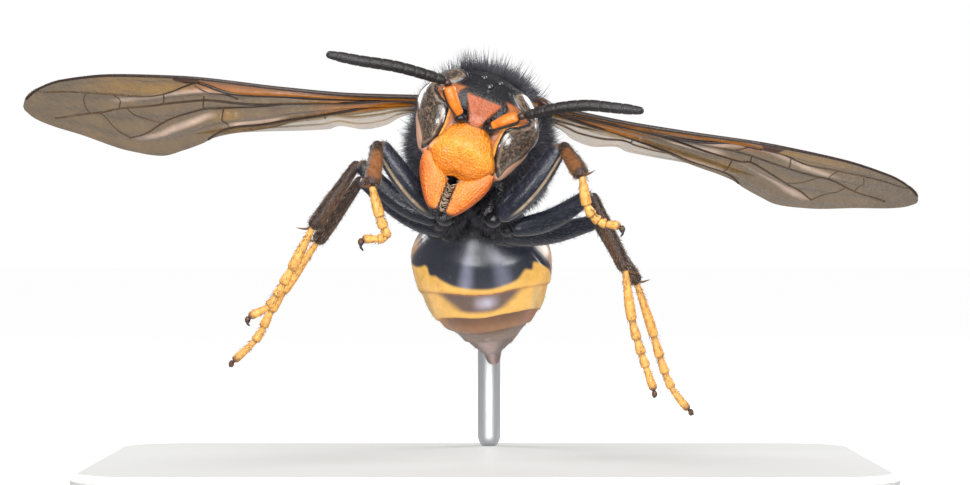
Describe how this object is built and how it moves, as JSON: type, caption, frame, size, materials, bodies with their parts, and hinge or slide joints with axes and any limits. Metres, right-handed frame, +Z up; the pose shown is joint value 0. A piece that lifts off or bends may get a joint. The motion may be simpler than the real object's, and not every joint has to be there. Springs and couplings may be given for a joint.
{
  "type": "asian hornet",
  "caption": "Asian hornet worker hovering with spread wings and hanging legs, as a still life-size model held by a flat base and a bent rod.",
  "frame": {"origin": "centre of the underside of the display stand's base", "axes": "+Z up, the hornet faces -Y, +X is the hornet's own left"},
  "size_m": [0.0413, 0.026, 0.0202],
  "materials": {
    "cuticle_black": "glossy black-brown insect cuticle with short hair",
    "cuticle_brown": "dark brown cuticle",
    "cuticle_rust": "rust-brown cuticle",
    "cuticle_orange": "orange-yellow pitted cuticle",
    "cuticle_yellow": "yellow cuticle",
    "eye": "dark brown compound eye with a soft gloss",
    "wing": "smoky brown clear membrane with dark veins",
    "stand_white": "satin white",
    "stand_steel": "fine satin"
  },
  "bodies": {
    "root": {"head": "cuticle_black", "clypeus": "cuticle_orange", "left_eye": "eye", "right_eye": "eye", "left_mandible": "cuticle_orange", "right_mandible": "cuticle_orange", "left_scape": "cuticle_rust", "right_scape": "cuticle_rust", "left_flagellum": "cuticle_brown", "right_flagellum": "cuticle_brown", "thorax": "cuticle_black", "propodeum": "cuticle_black", "left_tegula": "cuticle_brown", "right_tegula": "cuticle_brown", "left_forewing": "wing", "right_forewing": "wing", "left_hindwing": "wing", "right_hindwing": "wing", "gaster_1": "cuticle_black", "gaster_2": "cuticle_black", "gaster_3": "cuticle_yellow", "gaster_4": "cuticle_yellow", "gaster_5": "cuticle_rust", "gaster_6": "cuticle_brown", "left_fore_coxa": "cuticle_black", "left_fore_femur": "cuticle_black", "left_fore_tibia": "cuticle_brown", "left_fore_tarsus": "cuticle_yellow", "right_fore_coxa": "cuticle_black", "right_fore_femur": "cuticle_black", "right_fore_tibia": "cuticle_brown", "right_fore_tarsus": "cuticle_yellow", "left_mid_coxa": "cuticle_black", "left_mid_femur": "cuticle_black", "left_mid_tibia": "cuticle_brown", "left_mid_tarsus": "cuticle_yellow", "right_mid_coxa": "cuticle_black", "right_mid_femur": "cuticle_black", "right_mid_tibia": "cuticle_brown", "right_mid_tarsus": "cuticle_yellow", "left_hind_coxa": "cuticle_black", "left_hind_femur": "cuticle_black", "left_hind_tibia": "cuticle_brown", "left_hind_tarsus": "cuticle_yellow", "right_hind_coxa": "cuticle_black", "right_hind_femur": "cuticle_black", "right_hind_tibia": "cuticle_brown", "right_hind_tarsus": "cuticle_yellow", "stand_base": "stand_white", "stand_rod": "stand_steel", "stand_arm": "stand_steel"}
  },
  "joints": []
}
